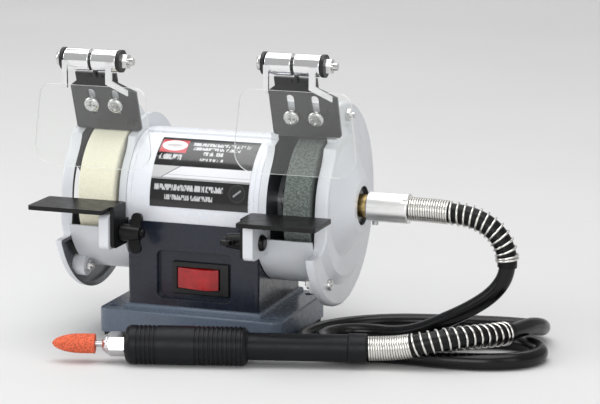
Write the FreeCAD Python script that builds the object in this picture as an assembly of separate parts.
import FreeCAD, Part
import math
import os

# Small bench grinder with a flexible drive shaft.  All lengths in millimetres.
# X runs along the motor shaft (right positive), Y points to the rear, Z is up; the bench is Z = 0.

V = FreeCAD.Vector

# ---- motor and base -------------------------------------------------------
MOTOR_Y = 3.4            # motor axis
MOTOR_Z = 71.8
MOTOR_R = 34.3           # outside of the motor housing
MOTOR_WALL = 2.5
HOUSING_HALF = 33.5      # half length of the housing tube
BELL_END = 36.3          # outer face of the end bells
SHAFT_R = 5.0
RUN = 0.05               # radial running clearance
BASE_HALF_X = 50.0
BASE_HALF_Y = 37.8
BASE_BOTTOM = 4.0
BASE_TOP = 16.5
BASE_CORNER_R = 6.0
PLINTH_TOP = 18.7
PEDESTAL_HALF_X = 35.9
PEDESTAL_FRONT = -30.0
PEDESTAL_REAR = 34.5
PEDESTAL_TOP = 62.6
WALL = 2.6
BOLT_X = 43.5            # bench bolt pattern, half spacings
BOLT_Y = 29.0
BOLT_HOLE_R = 2.6

# ---- guards ---------------------------------------------------------------
GUARD_R = 41.3           # wheel drum
GUARD_WALL = 1.6
WALL_IN = 36.3           # inner wall of the guard, distance from the middle
WALL_OUT = 40.3
DRUM_END = 66.3
COVER_R = 52.8
COVER_FACE = 70.5
COVER_DOME = 73.0
COVER_HUB = 80.8
COVER_WALL = 1.8
HUB_HOLE_R = 10.1
LIP_Z = -12.8            # lower lip of the front opening, below the motor axis

# ---- eye shields ----------------------------------------------------------
LEAN = 20.0              # the shield bracket leans forward by this angle
BRACKET_X = 54.9         # middle of the bracket
PLATE_HALF = 18.1
PLATE_SHIFT = {"left": 2.5, "right": 1.8}    # middle of the plate from the middle of the hinge, towards +X
SCREW_SHIFT = {"left": 2.0, "right": 1.4}    # middle of the screw pair from the middle of the hinge
SCREW_T = {"left": 53.2, "right": 52.3}      # height of the screws up the leaning plane
SCREW_HALF = 6.55
PLATE_BACK = 2.7         # forward offsets from the leaning plane through the motor axis
PLATE_FRONT = 4.2
FLANGE_FRONT = 2.35
HINGE_OFF = 5.0
LEFT_SLIDE = 0.0         # position of the bracket along its slots
RIGHT_SLIDE = 3.45
HINGE_T = 79.15
SHIELD_SHIFT = 2.7       # middle of the shield from the middle of the hinge, towards +X
SHIELD_TOP_HALF = 28.6
SHIELD_LOW_HALF = 33.3
SHIELD_DROP = (12.3, 54.6)   # top and bottom edges below the hinge
SHIELD_OFF = 6.75        # back face of the shield in front of the hinge
SHIELD_THICK = 1.5

# ---- tool rests -----------------------------------------------------------
REST_Y0 = -63.0
REST_Y1 = -36.0
REST_THICK = 2.2
REST_TOP_LEFT = 73.3
REST_TOP_RIGHT = 72.2
ARM_BOLT_Y = -42.0
ARM_BOLT_Z = 58.5

# ---- wheels ---------------------------------------------------------------
WHEEL_R = 37.5
FELT_X = (-61.9, -42.1)
STONE_X = (50.4, 64.4)

# ---- flexible shaft and handpiece ----------------------------------------
SHEATH_R = 4.2
SPRING_R = 6.3
FERRULE_R = 5.6           # black sleeve at the handpiece end of the hose
BARREL_R = 7.7
BARREL_X = (84.0, 106.0)
HAND_Z = 9.75
HAND_HEADING = 15.9
HAND_COLLAR = (98.8, -44.9)

os.makedirs("parts", exist_ok=True)


def save(name, shape):
    shape.exportStep("parts/%s.step" % name)
    print("%-24s %9.1f mm3  %s" % (name, shape.Volume, "ok" if shape.isValid() else "NOT VALID"))


def box(x0, x1, y0, y1, z0, z1):
    return Part.makeBox(x1 - x0, y1 - y0, z1 - z0, V(x0, y0, z0))


def cyl(r, length, base, axis):
    return Part.makeCylinder(r, length, base, axis)


def cyl_x(r, x0, x1, y=MOTOR_Y, z=MOTOR_Z):
    return Part.makeCylinder(r, x1 - x0, V(x0, y, z), V(1, 0, 0))


def tube_x(r_out, r_in, x0, x1, y=MOTOR_Y, z=MOTOR_Z):
    return cyl_x(r_out, x0, x1, y, z).cut(cyl_x(r_in, x0 - 1, x1 + 1, y, z))


def hexagon(across_flats, length, base, axis):
    """Hexagonal prism standing on base along axis."""
    r = across_flats / math.sqrt(3)
    points = [V(r * math.cos(math.radians(60 * i)), r * math.sin(math.radians(60 * i)), 0) for i in range(7)]
    prism = Part.Face(Part.makePolygon(points)).extrude(V(0, 0, length))
    prism.Placement = FreeCAD.Placement(base, FreeCAD.Rotation(V(0, 0, 1), axis))
    return prism


def union(shapes):
    result = shapes[0]
    for shape in shapes[1:]:
        result = result.fuse(shape)
    return result.removeSplitter()


def soften(shape, radius, pick, name):
    """Fillet the edges chosen by pick; leave the shape as it is if that fails."""
    edges = [e for e in shape.Edges if pick(e)]
    try:
        result = shape.makeFillet(radius, edges)
        if result.isValid() and result.Volume > 0.5 * shape.Volume:
            return result
    except Exception as problem:
        print("fillet skipped on", name, problem)
        return shape
    print("fillet not valid on", name)
    return shape


def vertical(e):
    b = e.BoundBox
    return b.XLength < 1e-3 and b.YLength < 1e-3 and b.ZLength > 1e-3


def along_y(e):
    b = e.BoundBox
    return b.XLength < 1e-3 and b.ZLength < 1e-3 and b.YLength > 1e-3


def along_x(e):
    b = e.BoundBox
    return b.YLength < 1e-3 and b.ZLength < 1e-3 and b.XLength > 1e-3


def rounded_box(x0, x1, y0, y1, z0, z1, r, pick=vertical):
    solid = box(x0, x1, y0, y1, z0, z1)
    return solid.makeFillet(r, [e for e in solid.Edges if pick(e)])


def mirrored(shape):
    return shape.mirror(V(0, 0, 0), V(1, 0, 0))


def lean_point(t, off):
    """(y, z) from the motor axis: t up the leaning plane, off forward of it."""
    a = math.radians(LEAN)
    return (-t * math.sin(a) - off * math.cos(a), t * math.cos(a) - off * math.sin(a))


def lean(shape):
    """Local frame (Z up the leaning plane, -Y forward, origin on the motor axis) to the grinder frame."""
    result = shape.copy()
    result.rotate(V(0, 0, 0), V(1, 0, 0), LEAN)
    result.translate(V(0, MOTOR_Y, MOTOR_Z))
    return result


# ===========================================================================
# base
# ===========================================================================
slab = rounded_box(-BASE_HALF_X, BASE_HALF_X, -BASE_HALF_Y, BASE_HALF_Y, BASE_BOTTOM, BASE_TOP, BASE_CORNER_R)
slab = soften(slab, 1.0, lambda e: e.BoundBox.ZMin > BASE_TOP - 0.01, "slab")
plinth = box(-37.6, 37.6, -31.8, 36.2, BASE_TOP - 1, PLINTH_TOP)
plinth = soften(plinth, 1.6, lambda e: e.BoundBox.ZMin > PLINTH_TOP - 0.01, "plinth")
column = rounded_box(-PEDESTAL_HALF_X, PEDESTAL_HALF_X, PEDESTAL_FRONT, PEDESTAL_REAR,
                     BASE_TOP - 1, PEDESTAL_TOP, 2.0)
pedestal = union([slab, plinth, column])
pedestal = pedestal.cut(cyl_x(MOTOR_R, -60, 60))
hollow_low = box(-BASE_HALF_X + WALL, BASE_HALF_X - WALL, -BASE_HALF_Y + WALL, BASE_HALF_Y - WALL,
                 BASE_BOTTOM - 1, BASE_TOP - WALL)
hollow_high = box(-PEDESTAL_HALF_X + WALL, PEDESTAL_HALF_X - WALL, PEDESTAL_FRONT + WALL + 4, PEDESTAL_REAR - WALL,
                  BASE_BOTTOM, PEDESTAL_TOP + 5)
hollow_high = hollow_high.cut(cyl_x(MOTOR_R + WALL, -60, 60))
pedestal = pedestal.cut(hollow_low).cut(hollow_high)

# bosses round the bench bolts and under the motor
for sx in (-1, 1):
    for sy in (-1, 1):
        boss = cyl(5.0, BASE_TOP - BASE_BOTTOM - 1.2 - 0.5, V(sx * BOLT_X, sy * BOLT_Y, BASE_BOTTOM + 1.2), V(0, 0, 1))
        pedestal = pedestal.fuse(boss)
for sx in (-1, 1):
    for sy in (-1, 1):
        hole = cyl(BOLT_HOLE_R, 40, V(sx * BOLT_X, sy * BOLT_Y, -5), V(0, 0, 1))
        pedestal = pedestal.cut(hole)

# recess and opening for the switch, in the front face
SWITCH_X = (-11.3, 19.2)
SWITCH_Z = (25.4, 42.3)
recess = rounded_box(-19.7, 21.0, PEDESTAL_FRONT - 1, PEDESTAL_FRONT + 3.0, 22.6, 47.8, 3.0, along_y)
pedestal = pedestal.cut(recess)
opening = box(SWITCH_X[0] + 1, SWITCH_X[1] - 1, PEDESTAL_FRONT - 1, PEDESTAL_FRONT + 16, SWITCH_Z[0] + 1, SWITCH_Z[1] - 1)
pedestal = pedestal.cut(opening)
# cable entry at the rear
GLAND_X = -20.0
GLAND_Z = 27.0
pedestal = pedestal.cut(cyl(4.0, 12, V(GLAND_X, PEDESTAL_REAR - 8, GLAND_Z), V(0, 1, 0)))
save("base_pedestal", pedestal.removeSplitter())

plate = rounded_box(-BASE_HALF_X + WALL, BASE_HALF_X - WALL, -BASE_HALF_Y + WALL, BASE_HALF_Y - WALL,
                    BASE_BOTTOM, BASE_BOTTOM + 1.2, 0.8)
for sx in (-1, 1):
    for sy in (-1, 1):
        plate = plate.cut(cyl(BOLT_HOLE_R, 10, V(sx * BOLT_X, sy * BOLT_Y, -1), V(0, 0, 1)))
for sx in (-1, 1):
    plate = plate.cut(cyl(1.5, 10, V(sx * 30.0, 0, -1), V(0, 0, 1)))
save("bottom_plate", plate)

# four feet, each a ring round a bench bolt hole,
feet = []
for sx in (-1, 1):
    for sy in (-1, 1):
        foot = Part.makeCone(5.6, 6.2, BASE_BOTTOM, V(sx * BOLT_X, sy * BOLT_Y, 0), V(0, 0, 1))
        foot = foot.cut(cyl(BOLT_HOLE_R + 0.4, 10, V(sx * BOLT_X, sy * BOLT_Y, -1), V(0, 0, 1)))
        feet.append(foot)
# and a pad under the middle of the bottom plate
feet.append(cyl(5.0, BASE_BOTTOM, V(0, 0, 0), V(0, 0, 1)))
save("rubber_feet", Part.makeCompound(feet))

screws = []
for sx in (-1, 1):
    head = cyl(3.0, 1.6, V(sx * 30.0, 0, BASE_BOTTOM - 1.6), V(0, 0, 1))
    head = head.cut(box(sx * 30.0 - 4, sx * 30.0 + 4, -0.4, 0.4, 0, BASE_BOTTOM - 1.0))
    screws.append(head.fuse(cyl(1.5, 5.0, V(sx * 30.0, 0, BASE_BOTTOM), V(0, 0, 1))))
save("bottom_plate_screws", Part.makeCompound(screws))

# ---- switch ---------------------------------------------------------------
BEZEL_FACE = PEDESTAL_FRONT + 1.0
bezel = box(SWITCH_X[0], SWITCH_X[1], BEZEL_FACE, PEDESTAL_FRONT + 3.0, SWITCH_Z[0], SWITCH_Z[1])
bezel = soften(bezel, 0.7, lambda e: along_x(e) and e.BoundBox.YMin < BEZEL_FACE + 0.01, "bezel")
bezel = bezel.fuse(box(SWITCH_X[0] + 1, SWITCH_X[1] - 1, PEDESTAL_FRONT + 3.0, PEDESTAL_FRONT + 15.0,
                       SWITCH_Z[0] + 1, SWITCH_Z[1] - 1))
bezel = bezel.cut(box(-9.1, 14.75, BEZEL_FACE - 1, PEDESTAL_FRONT + 13.0, 28.2, 39.7))

# the rocker turns about an upright pin: the left side stands in, the right side stands out
ROCK_X = 2.7
ROCK_Y = -23.5
outline = [(-8.6, -28.6), (0.0, -30.2), (6.9, -31.6), (9.6, -31.2), (13.6, -28.6), (11.5, -20.5), (-6.1, -20.5)]
points = [V(x, y, 28.65) for x, y in outline]
rocker = Part.Face(Part.makePolygon(points + [points[0]])).extrude(V(0, 0, 10.6))
rocker = rocker.cut(cyl(1.0 + RUN, 20, V(ROCK_X, ROCK_Y, 25), V(0, 0, 1)))
save("switch_rocker", rocker)
bezel = bezel.fuse(cyl(1.0, 11.5, V(ROCK_X, ROCK_Y, 28.2), V(0, 0, 1)))
save("switch_bezel", bezel)

gland = cyl(6.0, 1.6, V(GLAND_X, PEDESTAL_REAR, GLAND_Z), V(0, 1, 0))
gland = gland.fuse(cyl(4.0, 6.0, V(GLAND_X, PEDESTAL_REAR - 4.0, GLAND_Z), V(0, 1, 0)))
gland = gland.fuse(Part.makeCone(5.0, 4.0, 9.0, V(GLAND_X, PEDESTAL_REAR + 1.6, GLAND_Z), V(0, 1, 0)))
gland = gland.cut(cyl(2.6, 20, V(GLAND_X, PEDESTAL_REAR - 5, GLAND_Z), V(0, 1, 0)))
save("mains_gland", gland)

capacitor = cyl(7.5, 26.0, V(-2, 14, BASE_BOTTOM + 9.0), V(1, 0, 0))
holder = box(2, 20, 12.0, 16.0, BASE_BOTTOM + 1.2, BASE_BOTTOM + 6.0)
holder = holder.cut(cyl(7.5, 26.0, V(-2, 14, BASE_BOTTOM + 9.0), V(1, 0, 0)))
save("capacitor", capacitor.fuse(holder))

# ===========================================================================
# motor
# ===========================================================================
housing = tube_x(MOTOR_R, MOTOR_R - MOTOR_WALL, -HOUSING_HALF, HOUSING_HALF)
# cooling slots low at the rear
for i in range(6):
    x = -20 + 8 * i
    slot = rounded_box(x - 1.4, x + 1.4, MOTOR_Y + 25, MOTOR_Y + 40, MOTOR_Z - 4, MOTOR_Z + 12, 1.2, along_y)
    housing = housing.cut(slot)
save("motor_housing", housing)


def end_bell(side):
    """Disc with an inner spigot and a bearing pocket; side -1 is the left one."""
    disc = cyl_x(MOTOR_R, HOUSING_HALF, BELL_END)
    disc = soften(disc, 0.6, lambda e: e.BoundBox.XMin > BELL_END - 0.01, "end bell")
    spigot = tube_x(MOTOR_R - MOTOR_WALL, MOTOR_R - MOTOR_WALL - 2.2, HOUSING_HALF - 4, HOUSING_HALF)
    pocket = cyl_x(15.8, HOUSING_HALF - 5.5, BELL_END + 2.4)
    bell = union([disc, spigot, pocket])
    bell = bell.cut(cyl_x(13.0, 25, BELL_END + 0.9))
    bell = bell.cut(cyl_x(7.0, 25, 60))
    for i in range(6):
        a = math.radians(60 * i + 30)
        y = MOTOR_Y + 22.5 * math.cos(a)
        z = MOTOR_Z + 22.5 * math.sin(a)
        bell = bell.cut(cyl_x(2.6, 25, 60, y, z))
    return bell if side > 0 else mirrored(bell)


save("end_bells", Part.makeCompound([end_bell(-1), end_bell(1)]))

# wrap-round label: from just under the axis to 66 degrees up the front
label = tube_x(MOTOR_R + 0.3, MOTOR_R, -23.0, 30.5)
LABEL_LOW = -1.2
LABEL_HIGH = 66.0


def front_ray(angle, r):
    a = math.radians(angle)
    return V(-60, MOTOR_Y - r * math.cos(a), MOTOR_Z + r * math.sin(a))


wedge_points = [V(-60, MOTOR_Y, MOTOR_Z), front_ray(LABEL_LOW, 70), front_ray(30, 90), front_ray(LABEL_HIGH, 70)]
wedge = Part.Face(Part.makePolygon(wedge_points + [wedge_points[0]])).extrude(V(120, 0, 0))
save("label_plate", label.common(wedge))

stator = tube_x(MOTOR_R - MOTOR_WALL, 18.5, -16, 16)
for i in range(12):
    a = math.radians(30 * i)
    y = MOTOR_Y + 22.5 * math.cos(a)
    z = MOTOR_Z + 22.5 * math.sin(a)
    stator = stator.cut(cyl_x(2.6, -17, 17, y, z))
save("stator_core", stator)
windings = []
for x0, x1 in ((-24.0, -16.0), (16.0, 23.0)):
    ring = tube_x(28.5, 20.0, x0, x1)
    windings.append(soften(ring, 1.8, lambda e: e.Length > 100 and abs(e.BoundBox.XMin) > 20, "windings"))
save("stator_windings", Part.makeCompound(windings))

bearings = []
for sx in (-1, 1):
    x0 = 29.2 if sx > 0 else -37.2
    bearings.append(tube_x(13.0, SHAFT_R + RUN, x0, x0 + 8.0))
save("shaft_bearings", Part.makeCompound(bearings))

# rotor shaft: shoulders outside the bearings, thin drive stub on the right
shaft = union([cyl_x(SHAFT_R, -69.5, 73.0), cyl_x(6.4, 27.8, 28.8), cyl_x(6.4, -28.8, -27.8),
               cyl_x(3.0, 73.0, 92.0)])
shaft = shaft.cut(cyl_x(1.2, 82.0, 95.0))
save("rotor_shaft", shaft)
save("rotor_core", tube_x(18.1, SHAFT_R, -16, 16))

fan = tube_x(8.0, SHAFT_R, 23.6, 27.8)
fan = fan.fuse(tube_x(24.5, 7.5, 26.6, 27.8))
for i in range(9):
    blade = box(23.6, 26.7, MOTOR_Y + 9.0, MOTOR_Y + 24.0, MOTOR_Z - 0.6, MOTOR_Z + 0.6)
    blade.rotate(V(0, MOTOR_Y, MOTOR_Z), V(1, 0, 0), 40 * i)
    fan = fan.fuse(blade)
fan = fan.common(cyl_x(24.5, 20, 30))
save("cooling_fan", fan.removeSplitter())

# ===========================================================================
# wheel guards
# ===========================================================================
# front edge of the guard seen from the side, (y, z) from the motor axis
CONTOUR = [(-20.7, 32.05), (-22.0, 28.3), (-24.9, 23.6), (-29.4, 17.6), (-32.4, 11.0), (-34.0, 3.6), (-34.4, -7.0)]
SCREWS = {"top": (3.0, 46.0), "front": (-25.0, -37.0), "rear": (43.0, -14.0)}


def front_region(x0, x1, lower, upper, shift=(0.0, 0.0)):
    """Everything in front of the guard outline, as a prism along X."""
    sy, sz = shift

    def place(p):
        return V(x0, MOTOR_Y + p[0] + sy, MOTOR_Z + p[1] + sz)

    curve = Part.BSplineCurve()
    curve.interpolate([place(p) for p in CONTOUR])
    rest = [CONTOUR[-1]] + lower + [(-95.0, lower[-1][1]), (-95.0, 95.0)] + upper + [CONTOUR[0]]
    edges = [curve.toShape()]
    for a, b in zip(rest[:-1], rest[1:]):
        edges.append(Part.LineSegment(place(a), place(b)).toShape())
    return Part.Face(Part.Wire(edges)).extrude(V(x1 - x0, 0, 0))


def wheel_guard():
    """Right-hand guard: inner wall with the rest arm, drum rim, screw lugs and leaning flange."""
    low = [(-34.8, LIP_Z)]
    high = [lean_point(95, FLANGE_FRONT), lean_point(37.2, FLANGE_FRONT)]
    opening = front_region(30, 90, low, high)
    wall = cyl_x(GUARD_R, WALL_IN, WALL_OUT).cut(opening)
    rim = tube_x(GUARD_R, GUARD_R - GUARD_WALL, WALL_IN, DRUM_END).cut(opening)
    parts = [wall, rim]
    for y, z in SCREWS.values():
        lug = cyl_x(5.5, 62.0, COVER_FACE - COVER_WALL, MOTOR_Y + y, MOTOR_Z + z)
        lug = lug.cut(cyl_x(GUARD_R - GUARD_WALL, 50, 90))
        parts.append(lug)
    arm = rounded_box(36.3, 41.6, -54.0, -28.0, 51.0, 69.5, 3.0, along_x)
    parts.append(arm.cut(cyl_x(26.0, 30, 50)))
    flange = box(38.9, 70.9, -FLANGE_FRONT, 0.0, 40.4, 59.8)
    parts.append(lean(flange))
    # rib behind the flange, on the inner wall
    rib = Part.makePolygon([V(38.9, 0, 39.0), V(38.9, 0, 58.0), V(38.9, 13.0, 39.5), V(38.9, 13.0, 37.0), V(38.9, 0, 39.0)])
    parts.append(lean(Part.Face(rib).extrude(V(2.4, 0, 0))))
    guard = union(parts)
    guard = guard.cut(cyl_x(17.0, 30, 50))
    guard = guard.cut(cyl_x(2.0, 30, 50, ARM_BOLT_Y, ARM_BOLT_Z))
    for y, z in SCREWS.values():
        guard = guard.cut(cyl_x(1.5, 55, 80, MOTOR_Y + y, MOTOR_Z + z))
    # two screws fix the wall to the end bell; the wall is drilled for them
    return guard


def drilled(guard, side):
    """Holes for the two bracket screws through the flange."""
    middle = BRACKET_X + SCREW_SHIFT["right"] if side == "right" else SCREW_SHIFT["left"] - BRACKET_X
    for dx in (-SCREW_HALF, SCREW_HALF):
        guard = guard.cut(lean(cyl(1.5, 20, V(middle + dx, 10, SCREW_T[side]), V(0, -1, 0))))
    return guard


guard = wheel_guard()
save("right_wheel_guard", drilled(guard, "right"))
save("left_wheel_guard", drilled(mirrored(guard), "left"))


def lens_loft(scale, x0, x1, hub_r):
    """Raised lens on the cover: pointed top and bottom, running up into the round hub."""
    def at(y, z, x, k=1.0):
        return V(x, MOTOR_Y + y * k, MOTOR_Z + z * k)

    low = (-13.6, -24.2)
    high = (4.7, 32.8)
    front = (-29.6, 12.3)
    rear = (20.8, -3.7)
    base = Part.Wire([Part.Arc(at(*low, x0, scale), at(*front, x0, scale), at(*high, x0, scale)).toShape(),
                      Part.Arc(at(*high, x0, scale), at(*rear, x0, scale), at(*low, x0, scale)).toShape()])
    a_low = math.atan2(-13.6, -1.4)
    a_high = math.atan2(13.3, 5.0)
    a_front = (a_high + (a_low + 2 * math.pi)) / 2
    a_rear = a_front + math.pi

    def rim_point(a):
        return V(x1, MOTOR_Y + hub_r * math.cos(a), MOTOR_Z + hub_r * math.sin(a))

    top = Part.Wire([Part.Arc(rim_point(a_low), rim_point(a_front), rim_point(a_high)).toShape(),
                     Part.Arc(rim_point(a_high), rim_point(a_rear), rim_point(a_low)).toShape()])
    return Part.makeLoft([base, top], True, True)


def guard_cover():
    """Right-hand cover: a pan with a raised, ridged dome and a hole in its hub."""
    def dome(r, x_back, x_face, x_dome, x_hub, r_step, r_dome, soft, scale, hub_r):
        profile = [V(x_back, 0, 0), V(x_back, r, 0), V(x_face - soft, r, 0)]
        arc_mid = V(x_face - soft * (1 - math.sin(math.pi / 4)), r - soft * (1 - math.cos(math.pi / 4)), 0)
        arc_end = V(x_face, r - soft, 0)
        tail = [arc_end, V(x_face, r_step, 0), V(x_dome, r_dome, 0), V(x_dome, 0, 0), V(x_back, 0, 0)]
        edges = [Part.LineSegment(p, q).toShape() for p, q in zip(profile[:-1], profile[1:])]
        edges.append(Part.Arc(profile[-1], arc_mid, arc_end).toShape())
        edges += [Part.LineSegment(p, q).toShape() for p, q in zip(tail[:-1], tail[1:])]
        body = Part.Face(Part.Wire(edges)).revolve(V(0, 0, 0), V(1, 0, 0), 360)
        body.translate(V(0, MOTOR_Y, MOTOR_Z))
        return body.fuse(lens_loft(scale, x_dome - 0.01, x_hub, hub_r))

    low = [(-36.0, -18.0), (-38.0, -19.3), (-60.0, -19.6)]
    high = [lean_point(95, 0.0), lean_point(39.2, 0.0), lean_point(39.2, FLANGE_FRONT), lean_point(37.2, FLANGE_FRONT)]
    outer = dome(COVER_R, DRUM_END, COVER_FACE, COVER_DOME, COVER_HUB, 41.5, 36.5, 2.2, 1.0, 14.0)
    outer = outer.cut(front_region(50, 100, low, high))
    outer = soften(outer, 1.2, lambda e: e.BoundBox.XMin > COVER_FACE - 0.3 and e.BoundBox.YMax < MOTOR_Y - 18, "cover")
    inner = dome(COVER_R - COVER_WALL, DRUM_END - 1, COVER_FACE - COVER_WALL, COVER_DOME - COVER_WALL,
                 COVER_HUB - 1.6, 41.5, 36.5, 0.8, 0.96, 13.2)
    inner = inner.cut(front_region(50, 100, low, high, (1.8, -1.8)))
    cover = outer.cut(inner)
    cover = cover.cut(cyl_x(HUB_HOLE_R, 60, 100))
    for y, z in SCREWS.values():
        cover = cover.cut(cyl_x(1.5, 55, 80, MOTOR_Y + y, MOTOR_Z + z))
    return cover


cover = guard_cover()
save("right_guard_cover", cover)
save("left_guard_cover", mirrored(cover))


def cover_fasteners():
    """Screws and nuts of the right cover; the top one has its nut outside."""
    bolts = []
    nuts = []
    for name, (y, z) in SCREWS.items():
        yy = MOTOR_Y + y
        zz = MOTOR_Z + z
        if name == "top":
            bolt = cyl_x(1.5, 62.0, 75.0, yy, zz).fuse(cyl_x(3.0, 60.0, 62.0, yy, zz))
            nuts.append(tube_nut(5.5, 1.5, COVER_FACE, COVER_FACE + 2.4, yy, zz))
        else:
            bolt = cyl_x(1.5, 58.6, COVER_FACE, yy, zz)
            head = cyl_x(3.0, COVER_FACE, COVER_FACE + 2.0, yy, zz)
            head = soften(head, 0.9, lambda e: e.BoundBox.XMin > COVER_FACE + 1.9 and e.Length > 10, "cover screw")
            head = head.cut(box(COVER_FACE + 1.2, COVER_FACE + 3, yy - 2.2, yy + 2.2, zz - 0.4, zz + 0.4))
            head = head.cut(box(COVER_FACE + 1.2, COVER_FACE + 3, yy - 0.4, yy + 0.4, zz - 2.2, zz + 2.2))
            bolt = bolt.fuse(head)
            nuts.append(tube_nut(5.5, 1.5, 59.6, 62.0, yy, zz))
        bolts.append(bolt)
    return bolts, nuts


def tube_nut(flats, bore, x0, x1, y, z):
    nut = hexagon(flats, x1 - x0, V(x0, y, z), V(1, 0, 0))
    return nut.cut(cyl_x(bore, x0 - 1, x1 + 1, y, z))


bolts, nuts = cover_fasteners()
save("cover_screws", Part.makeCompound(bolts + [mirrored(b) for b in bolts]))
save("cover_nuts", Part.makeCompound(nuts + [mirrored(n) for n in nuts]))

# ===========================================================================
# wheels
# ===========================================================================
felt = tube_x(WHEEL_R, SHAFT_R, FELT_X[0], FELT_X[1])
felt = soften(felt, 1.0, lambda e: e.Length > 150 and e.BoundBox.XLength < 0.01, "felt wheel")
save("felt_wheel", felt)
stone = tube_x(WHEEL_R, SHAFT_R, STONE_X[0], STONE_X[1])
stone = soften(stone, 0.5, lambda e: e.Length > 150 and e.BoundBox.XLength < 0.01, "stone")
save("grinding_wheel", stone)

left_flanges = [tube_x(13.0, SHAFT_R, FELT_X[1], FELT_X[1] + 2.4), tube_x(13.0, SHAFT_R, FELT_X[0] - 2.4, FELT_X[0]),
                tube_x(6.6, SHAFT_R, FELT_X[1] + 2.4, -37.3)]
right_flanges = [tube_x(13.0, SHAFT_R, STONE_X[0] - 2.4, STONE_X[0]), tube_x(13.0, SHAFT_R, STONE_X[1], STONE_X[1] + 2.4),
                 tube_x(6.6, SHAFT_R, 37.3, STONE_X[0] - 2.4)]
flanges = [union([left_flanges[0], left_flanges[2]]), left_flanges[1],
           union([right_flanges[0], right_flanges[2]]), right_flanges[1]]
save("wheel_flanges", Part.makeCompound(flanges))
right_nut = tube_nut(14.0, SHAFT_R, STONE_X[1] + 2.4, STONE_X[1] + 6.2, MOTOR_Y, MOTOR_Z)
left_nut = tube_nut(14.0, SHAFT_R, FELT_X[0] - 6.2, FELT_X[0] - 2.4, MOTOR_Y, MOTOR_Z)
save("wheel_nuts", Part.makeCompound([left_nut, right_nut]))

# ===========================================================================
# eye shields
# ===========================================================================


def shield_bracket(side, slide):
    """Black plate with two slots, its neck, the middle lug and the hinge tube (local leaning frame)."""
    c = SIDE[side] * BRACKET_X
    m = c + PLATE_SHIFT[side]
    t = slide
    outline = [(m - PLATE_HALF + 1.0, 38.1 + t), (m + PLATE_HALF - 1.0, 38.1 + t), (m + PLATE_HALF, 39.1 + t),
               (m + PLATE_HALF, 60.5 + t), (m + 8.6, 65.3 + t), (m + 8.6, 71.0 + t),
               (m - 14.2, 71.0 + t), (m - 14.2, 66.0 + t), (m - PLATE_HALF, 63.0 + t), (m - PLATE_HALF, 39.1 + t)]
    points = [V(x, -PLATE_FRONT, z) for x, z in outline]
    plate = Part.Face(Part.makePolygon(points + [points[0]])).extrude(V(0, PLATE_FRONT - PLATE_BACK, 0))
    for dx in (-SCREW_HALF, SCREW_HALF):
        x = c + SCREW_SHIFT[side] + dx
        slot = rounded_box(x - 2.05, x + 2.05, -10, 0, 46.9 + t, 61.3 + t, 2.04, along_y)
        plate = plate.cut(slot)
    hinge = HINGE_T + t
    lug = box(c - 0.6, c + 0.6, -HINGE_OFF - 1.2, -PLATE_BACK, 69.5 + t, hinge)
    tube = cyl_x(3.5, c - 14.8, c + 14.8, -HINGE_OFF, hinge)
    bracket = union([plate, lug, tube])
    # two small rivets that hold the lug, on the neck
    for dx in (-3.4, 0.0, 3.4):
        bracket = bracket.fuse(cyl(0.7, 0.4, V(c + dx, -PLATE_FRONT, 68.9 + t), V(0, -1, 0)))
    return bracket.cut(cyl_x(2.0, c - 20, c + 20, -HINGE_OFF, hinge))


def hinge_discs(side, slide):
    c = SIDE[side] * BRACKET_X
    z = HINGE_T + slide
    return [tube_x(5.8, 2.0, c - 16.6, c - 14.8, -HINGE_OFF, z), tube_x(5.8, 2.0, c + 14.8, c + 16.6, -HINGE_OFF, z)]


def hinge_bolt(side, slide):
    """Bolt along the hinge; head always towards -X, nut towards +X."""
    z = HINGE_T + slide
    c = SIDE[side] * BRACKET_X
    shank = cyl_x(2.0, c - 16.6, c + 22.5, -HINGE_OFF, z)
    head = cyl_x(4.0, c - 19.4, c - 16.6, -HINGE_OFF, z)
    head = soften(head, 1.2, lambda e: e.BoundBox.XMax < c - 19.3 and e.Length > 10, "hinge bolt")
    head = head.cut(box(c - 20, c - 18.6, -HINGE_OFF - 0.5, -HINGE_OFF + 0.5, z - 2.6, z + 2.6))
    head = head.cut(box(c - 20, c - 18.6, -HINGE_OFF - 2.6, -HINGE_OFF + 2.6, z - 0.5, z + 0.5))
    bolt = shank.fuse(head)
    nut = tube_nut(7.0, 2.0, c + 16.6, c + 19.8, -HINGE_OFF, z)
    return bolt, nut


def flat_piece(outline, y0, y1):
    """Plate with the given (x, z) outline between two y positions."""
    points = [V(x, y0, z) for x, z in outline]
    return Part.Face(Part.makePolygon(points + [points[0]])).extrude(V(0, y1 - y0, 0))


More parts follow.
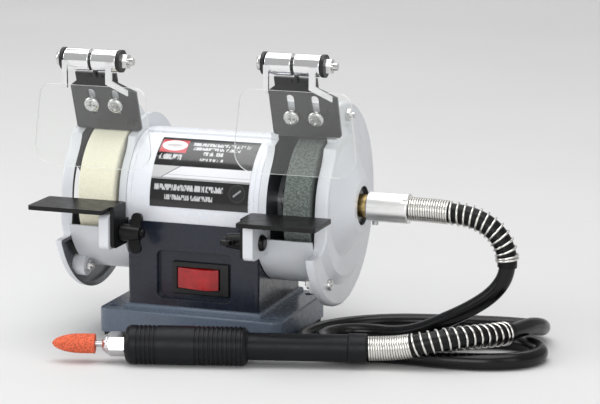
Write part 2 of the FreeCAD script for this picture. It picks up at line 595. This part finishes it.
def holder_and_shield(side, slide):
    """Bright sleeves with their tails, and the clear shield hanging in front of the hinge."""
    c = SIDE[side] * BRACKET_X
    dy, dz = lean_point(HINGE_T + slide, HINGE_OFF)
    # local frame: origin on the hinge, -Z down the shield, -Y in front of it
    left_tail = [(c - 14.4, 0.0), (c - 11.7, 0.0), (c - 11.7, -14.2), (c - 14.4, -14.2)]
    right_tail = [(c + 9.6, 0.0), (c + 12.9, 0.0), (c + 12.9, -9.6), (c + 21.6, -14.0), (c + 21.6, -16.8),
                  (c + 9.6, -11.4)]
    sleeves = []
    for x0, tail in ((c - 14.45, left_tail), (c + 0.75, right_tail)):
        sleeve = tube_x(5.65, 3.5 + RUN, x0, x0 + 13.7, 0, 0)
        sleeve = soften(sleeve, 0.5, lambda e: e.Length > 30, "sleeve")
        strip = flat_piece(tail, -SHIELD_OFF, -SHIELD_OFF + 1.5).cut(cyl_x(4.2, c - 20, c + 20, 0, 0))
        sleeves.append(union([sleeve, strip]))
    m = c + SHIELD_SHIFT
    top, low = SHIELD_DROP
    outline = [(m - SHIELD_TOP_HALF, -top), (m + SHIELD_TOP_HALF, -top), (m + SHIELD_LOW_HALF, -low),
               (m - SHIELD_LOW_HALF, -low)]
    shield = flat_piece(outline, -SHIELD_OFF - SHIELD_THICK, -SHIELD_OFF)
    shield = shield.makeFillet(6.0, [e for e in shield.Edges if along_y(e) and e.BoundBox.ZMin > -top - 0.1])
    shield = shield.makeFillet(10.5, [e for e in shield.Edges if along_y(e) and e.BoundBox.ZMin < -low + 0.1])
    pieces = [Part.makeCompound(sleeves), shield]
    for piece in pieces:
        piece.translate(V(0, MOTOR_Y + dy, MOTOR_Z + dz))
    return pieces


def screw_set(side):
    """Two round-head screws with cross recesses and their nuts behind the flange (local leaning frame)."""
    screws = []
    t = SCREW_T[side]
    for dx in (-SCREW_HALF, SCREW_HALF):
        x = SIDE[side] * BRACKET_X + SCREW_SHIFT[side] + dx
        shank = cyl(1.5, PLATE_FRONT + 0.35 + 3.4, V(x, 3.4, t), V(0, -1, 0))
        head = cyl(4.3, 2.4, V(x, -PLATE_FRONT - 0.35, t), V(0, -1, 0))
        head = soften(head, 1.5, lambda e: e.BoundBox.YMin < -PLATE_FRONT - 2.6 and e.Length > 15, "bracket screw")
        y_face = -PLATE_FRONT - 0.35 - 2.4
        head = head.cut(box(x - 2.5, x + 2.5, y_face - 1, y_face + 1.1, t - 0.5, t + 0.5))
        head = head.cut(box(x - 0.5, x + 0.5, y_face - 1, y_face + 1.1, t - 2.5, t + 2.5))
        nut = hexagon(5.5, 2.4, V(x, 2.4, t), V(0, -1, 0))
        screws.append(union([shank, head, nut]))
    return screws


SIDE = {"left": -1, "right": 1}
screws = []
for side, slide in (("left", LEFT_SLIDE), ("right", RIGHT_SLIDE)):
    save("%s_shield_bracket" % side, lean(shield_bracket(side, slide)))
    save("%s_hinge_discs" % side, Part.makeCompound([lean(d) for d in hinge_discs(side, slide)]))
    bolt, nut = hinge_bolt(side, slide)
    save("%s_hinge_bolt" % side, Part.makeCompound([lean(bolt), lean(nut)]))
    holder, shield = holder_and_shield(side, slide)
    save("%s_shield_holder" % side, holder)
    save("%s_eye_shield" % side, shield)
    screws += [lean(screw) for screw in screw_set(side)]
save("bracket_screws", Part.makeCompound(screws))

# ===========================================================================
# tool rests
# ===========================================================================


def tool_rest(top):
    """Right-hand rest: bent sheet, the tab hangs beside the guard arm and is slotted for the bolt."""
    z0 = top - REST_THICK
    plate = rounded_box(34.2, 77.0, REST_Y0, REST_Y1, z0, top, 1.7)
    plate = plate.cut(box(30, 36.0, REST_Y0 - 1, -52.0, z0 - 1, top + 1))
    tab = rounded_box(34.2, 36.0, -52.0, -32.4, 51.5, top - 0.3, 3.0, along_x)
    tab = tab.cut(box(30, 40, REST_Y1, -30, 64.5, top + 1))
    rest = union([plate, tab])
    slot = rounded_box(30, 40, ARM_BOLT_Y - 1.6 - 2.4, ARM_BOLT_Y + 5.2 + 2.4, ARM_BOLT_Z - 2.4, ARM_BOLT_Z + 2.4, 2.39,
                       along_x)
    return rest.cut(slot)


save("right_tool_rest", tool_rest(REST_TOP_RIGHT))
save("left_tool_rest", mirrored(tool_rest(REST_TOP_LEFT)))

bolt = cyl_x(2.0, 21.8, 41.6, ARM_BOLT_Y, ARM_BOLT_Z)
head = cyl_x(4.2, 41.6, 44.0, ARM_BOLT_Y, ARM_BOLT_Z)
head = soften(head, 1.8, lambda e: e.BoundBox.XMin > 43.9 and e.Length > 10, "rest bolt")
rest_bolt = bolt.fuse(head)
save("rest_bolts", Part.makeCompound([rest_bolt, mirrored(rest_bolt)]))


def wing_nut(turn):
    """Right-hand wing nut; turn is the angle of the wings from upright."""
    y = ARM_BOLT_Y
    z = ARM_BOLT_Z
    hub = Part.makeCone(3.6, 4.6, 10.2, V(23.6, y, z), V(1, 0, 0))
    nut = hub
    for side in (-1, 1):
        wing = box(23.8, 29.2, y - 1.1, y + 1.1, z + 2.4, z + 7.0)
        tip = cyl(2.9, 2.2, V(25.8, y - 1.1, z + 7.6), V(0, 1, 0))
        piece = wing.fuse(tip)
        if side < 0:
            piece.rotate(V(0, y, z), V(1, 0, 0), 180)
        nut = nut.fuse(piece)
    nut = nut.cut(cyl_x(2.0 + RUN, 10, 50, y, z))
    nut.rotate(V(0, y, z), V(1, 0, 0), turn)
    return nut.removeSplitter()


save("right_wing_nut", wing_nut(86))
save("left_wing_nut", mirrored(wing_nut(-8)))

# ===========================================================================
# flexible shaft
# ===========================================================================
retainer = tube_x(13.0, 6.0, COVER_HUB - 1.6 - 1.6, COVER_HUB - 1.6)
save("coupling_retainer", retainer)
bush = tube_x(6.0, 3.5, 75.5, 94.0)
save("coupling_bush", bush)
barrel = cyl_x(BARREL_R, BARREL_X[0], BARREL_X[1])
barrel = soften(barrel, 0.8, lambda e: e.Length > 30, "barrel")
barrel = barrel.cut(cyl_x(6.0, BARREL_X[0] - 1, 94.0)).cut(cyl_x(SHEATH_R, 98.6, 110.0)).cut(cyl_x(3.4, 90, 100))
barrel = barrel.cut(cyl(1.6, 10, V(87.5, MOTOR_Y, MOTOR_Z - 5.5), V(0, 0, -1)))
for i in range(3):
    notch = box(103.0, 107.0, MOTOR_Y - 1.3, MOTOR_Y + 1.3, MOTOR_Z + 6.5, MOTOR_Z + 9.0)
    notch.rotate(V(0, MOTOR_Y, MOTOR_Z), V(1, 0, 0), 50 + 120 * i)
    barrel = barrel.cut(notch)
save("coupling_barrel", barrel)
save("coupling_set_screw", cyl(1.6, 3.4, V(87.5, MOTOR_Y, MOTOR_Z - 6.0), V(0, 0, -1)))

# centre line of the flexible shaft: straight runs with tangent arcs between them
hx, hy = HAND_COLLAR
ha = math.radians(HAND_HEADING)
HAND_DIR = V(math.cos(ha), math.sin(ha), 0)


def hand(s, dz=0.0):
    """Point on the handpiece axis, s behind the collar's rear end."""
    return V(hx + s * math.cos(ha), hy + s * math.sin(ha), HAND_Z + dz)


ROUTE = [
    V(98.67, 3.4, 71.8), V(112.0, 3.4, 71.8), V(126.0, 3.4, 71.5), V(139.5, 3.4, 70.2), V(150.8, 3.4, 64.2),
    V(157.2, 3.4, 53.6), V(157.4, 3.4, 41.5), V(150.8, 3.4, 31.2), V(139.0, 3.5, 22.4), V(124.5, 3.8, 14.6),
    V(110.5, 5.2, 7.6), V(97.0, 7.6, 4.3), V(84.5, 8.6, 4.4), V(72.4, 5.4, 4.3), V(64.8, -3.4, 4.4),
    V(63.8, -14.8, 4.3), V(70.4, -23.6, 4.4), V(82.0, -26.8, 4.3), V(94.0, -25.4, 4.4), V(104.6, -19.8, 4.3),
    V(114.6, -11.6, 4.4),
    V(125.2, -1.2, 4.4), V(136.8, 9.2, 4.3), V(150.8, 14.6, 4.4), V(164.8, 12.6, 4.3), V(175.4, 3.4, 4.4),
    V(178.0, -9.0, 4.3), V(171.5, -21.4, 4.4), V(159.0, -28.6, 4.3), V(144.0, -32.4, 4.3), V(128.0, -33.8, 4.4),
    V(112.0, -33.0, 4.3), V(97.0, -34.6, 4.4), V(83.0, -38.8, 4.3), V(68.6, -37.8, 4.3), V(57.6, -28.4, 4.4),
    V(53.6, -14.0, 4.3), V(56.0, 1.0, 4.4), V(64.0, 15.4, 4.3), V(77.0, 27.4, 4.3), V(93.0, 35.6, 4.4),
    V(110.0, 40.4, 4.3), V(127.5, 44.0, 4.4), V(144.5, 47.6, 4.3), V(159.5, 46.8, 4.6), V(168.4, 38.2, 6.6),
    V(170.4, 25.6, 10.8), V(168.2, 13.4, 13.9), V(165.0, 2.6, 14.2), V(161.4, -7.8, 14.3), V(155.8, -17.6, 14.9),
    V(148.6, -26.6, 15.7), V(139.4, -34.4, 15.6), V(128.0, -39.2, 13.8), V(116.6, -40.9, 10.9),
    hand(5.4, 0.0), hand(-4.0, 0.0)]


def route_edges(points):
    """Straight runs joined by tangent arcs; returns the edges and the arc radii."""
    edges = []
    radii = []
    start = points[0]
    for i in range(1, len(points) - 1):
        before = points[i] - points[i - 1]
        after = points[i + 1] - points[i]
        u = V(before)
        u.normalize()
        w = V(after)
        w.normalize()
        turn = u.getAngle(w)
        reach = 0.45 * min(before.Length, after.Length)
        radius = reach / math.tan(turn / 2)
        radii.append(radius)
        a = points[i] - u * reach
        b = points[i] + w * reach
        inward = w - u
        inward.normalize()
        middle = points[i] + inward * (radius / math.cos(turn / 2) - radius)
        edges.append(Part.LineSegment(start, a).toShape())
        edges.append(Part.Arc(a, middle, b).toShape())
        start = b
    edges.append(Part.LineSegment(start, points[-1]).toShape())
    return edges, radii


def swept(edges, radius):
    """Round bar along a chain of edges."""
    wire = Part.Wire(edges)
    first = edges[0]
    origin = first.valueAt(first.FirstParameter)
    direction = first.tangentAt(first.FirstParameter)
    circle = Part.Wire([Part.Circle(origin, direction, radius).toShape()])
    return wire.makePipeShell([circle], True, False)


def swept_ring(edges, outer, inner):
    """Tube along a chain of edges."""
    return swept(edges, outer).cut(swept(edges, inner + RUN))


edges, radii = route_edges(ROUTE)
print("cord arc radii:", " ".join("%.1f" % r for r in radii))
length = sum(e.Length for e in edges)
print("cord length %.1f mm, smallest radius %.1f mm" % (length, min(radii)))
sheath = swept(edges, SHEATH_R)
section = math.pi * SHEATH_R ** 2
print("cord volume %.1f, section times length %.1f, ratio %.4f" % (sheath.Volume, section * length,
                                                                   sheath.Volume / (section * length)))
save("shaft_sheath", sheath)


# edges come in pairs: run, arc, run, arc ...
save("motor_spring_guard", swept_ring(edges[1:10], SPRING_R, SHEATH_R))
save("motor_end_ferrule", swept_ring(edges[10:13], SPRING_R, SHEATH_R))
save("tool_end_ferrule", swept_ring(edges[95:97], FERRULE_R, SHEATH_R))
save("tool_spring_guard", swept_ring(edges[97:110], SPRING_R, SHEATH_R))

# ===========================================================================
# handpiece
# ===========================================================================
TIP = 151.2 + 6.3          # tip of the mounted stone, measured forward from the collar's rear end


def hand_cyl(r, s0, s1):
    """Cylinder on the handpiece axis between two distances from the tip."""
    start = hand(-(TIP - s0))
    return cyl(r, s1 - s0, start, HAND_DIR)


def hand_cone(r0, r1, s0, s1):
    start = hand(-(TIP - s0))
    return Part.makeCone(r0, r1, s1 - s0, start, HAND_DIR)


def hand_body():
    """Grip: fat front part with ribs and a flat."""
    body = hand_cyl(9.75, 37.0, 98.3)
    body = soften(body, 3.2, lambda e: e.Length > 50, "grip")
    for i in range(11):
        s = 72.0 + 2.3 * i
        body = body.cut(hand_cyl(10.5, s, s + 1.0).cut(hand_cyl(9.25, s - 1, s + 2)))
    for i in range(5):
        s = 43.0 + 2.2 * i
        body = body.cut(hand_cyl(10.5, s, s + 1.0).cut(hand_cyl(9.3, s - 1, s + 2)))
    body = body.cut(hand_cyl(8.0, 41.0, 99.0)).cut(hand_cyl(5.2, 30.0, 50.0))
    return body


save("handpiece_body", hand_body().removeSplitter())
rear = hand_cyl(6.9, 98.3, 148.0).fuse(hand_cyl(8.0, 90.3, 98.3))
rear = rear.removeSplitter()
rear = rear.cut(hand_cyl(4.4, 80.0, 149.0))
save("handpiece_rear_tube", rear)
collar = hand_cyl(7.4, 148.0, 157.5)
collar = soften(collar, 0.8, lambda e: e.Length > 30, "collar")
save("handpiece_collar", collar.cut(hand_cyl(SHEATH_R, 140.0, 160.0)))
front_bearing = hand_cyl(8.0, 44.0, 50.0).cut(hand_cyl(3.0 + RUN, 43.0, 51.0))
rear_bearing = hand_cyl(8.0, 80.0, 86.0).cut(hand_cyl(3.0 + RUN, 79.0, 87.0))
save("handpiece_bearings", Part.makeCompound([front_bearing, rear_bearing]))
spindle = union([hand_cyl(3.0, 30.0, 88.0), hand_cyl(4.2, 37.6, 40.6)])
spindle = spindle.cut(hand_cyl(1.5, 20.0, 36.0))
save("handpiece_spindle", spindle)
collet = hexagon(10.8, 9.0, hand(-(TIP - 27.6)), HAND_DIR)
collet = collet.common(hand_cone(4.6, 13.0, 27.6, 37.0))
collet = collet.fuse(hand_cone(3.4, 5.0, 25.6, 27.6))
collet = collet.cut(hand_cyl(3.0, 30.0, 40.0)).cut(hand_cyl(1.5, 20.0, 40.0))
save("collet_nut", collet)


def mounted_stone():
    """Bullet-shaped stone on its mandrel, as a turned profile."""
    profile = [(0.0, 0.05), (1.2, 1.7), (3.2, 2.9), (6.5, 4.0), (10.5, 4.7), (15.0, 4.95), (21.7, 4.95)]
    curve = Part.BSplineCurve()
    curve.interpolate([V(r, 0, s) for s, r in profile])
    lines = [Part.LineSegment(V(4.95, 0, 21.7), V(0, 0, 21.7)).toShape(),
             Part.LineSegment(V(0, 0, 21.7), V(0, 0, 0)).toShape(),
             Part.LineSegment(V(0, 0, 0), V(0.05, 0, 0)).toShape()]
    solid = Part.Face(Part.Wire([curve.toShape()] + lines)).revolve(V(0, 0, 0), V(0, 0, 1), 360)
    solid.Placement = FreeCAD.Placement(hand(-TIP), FreeCAD.Rotation(V(0, 0, 1), HAND_DIR))
    return solid


save("mounted_stone", mounted_stone())
save("stone_mandrel", hand_cyl(1.5, 21.7, 36.0))
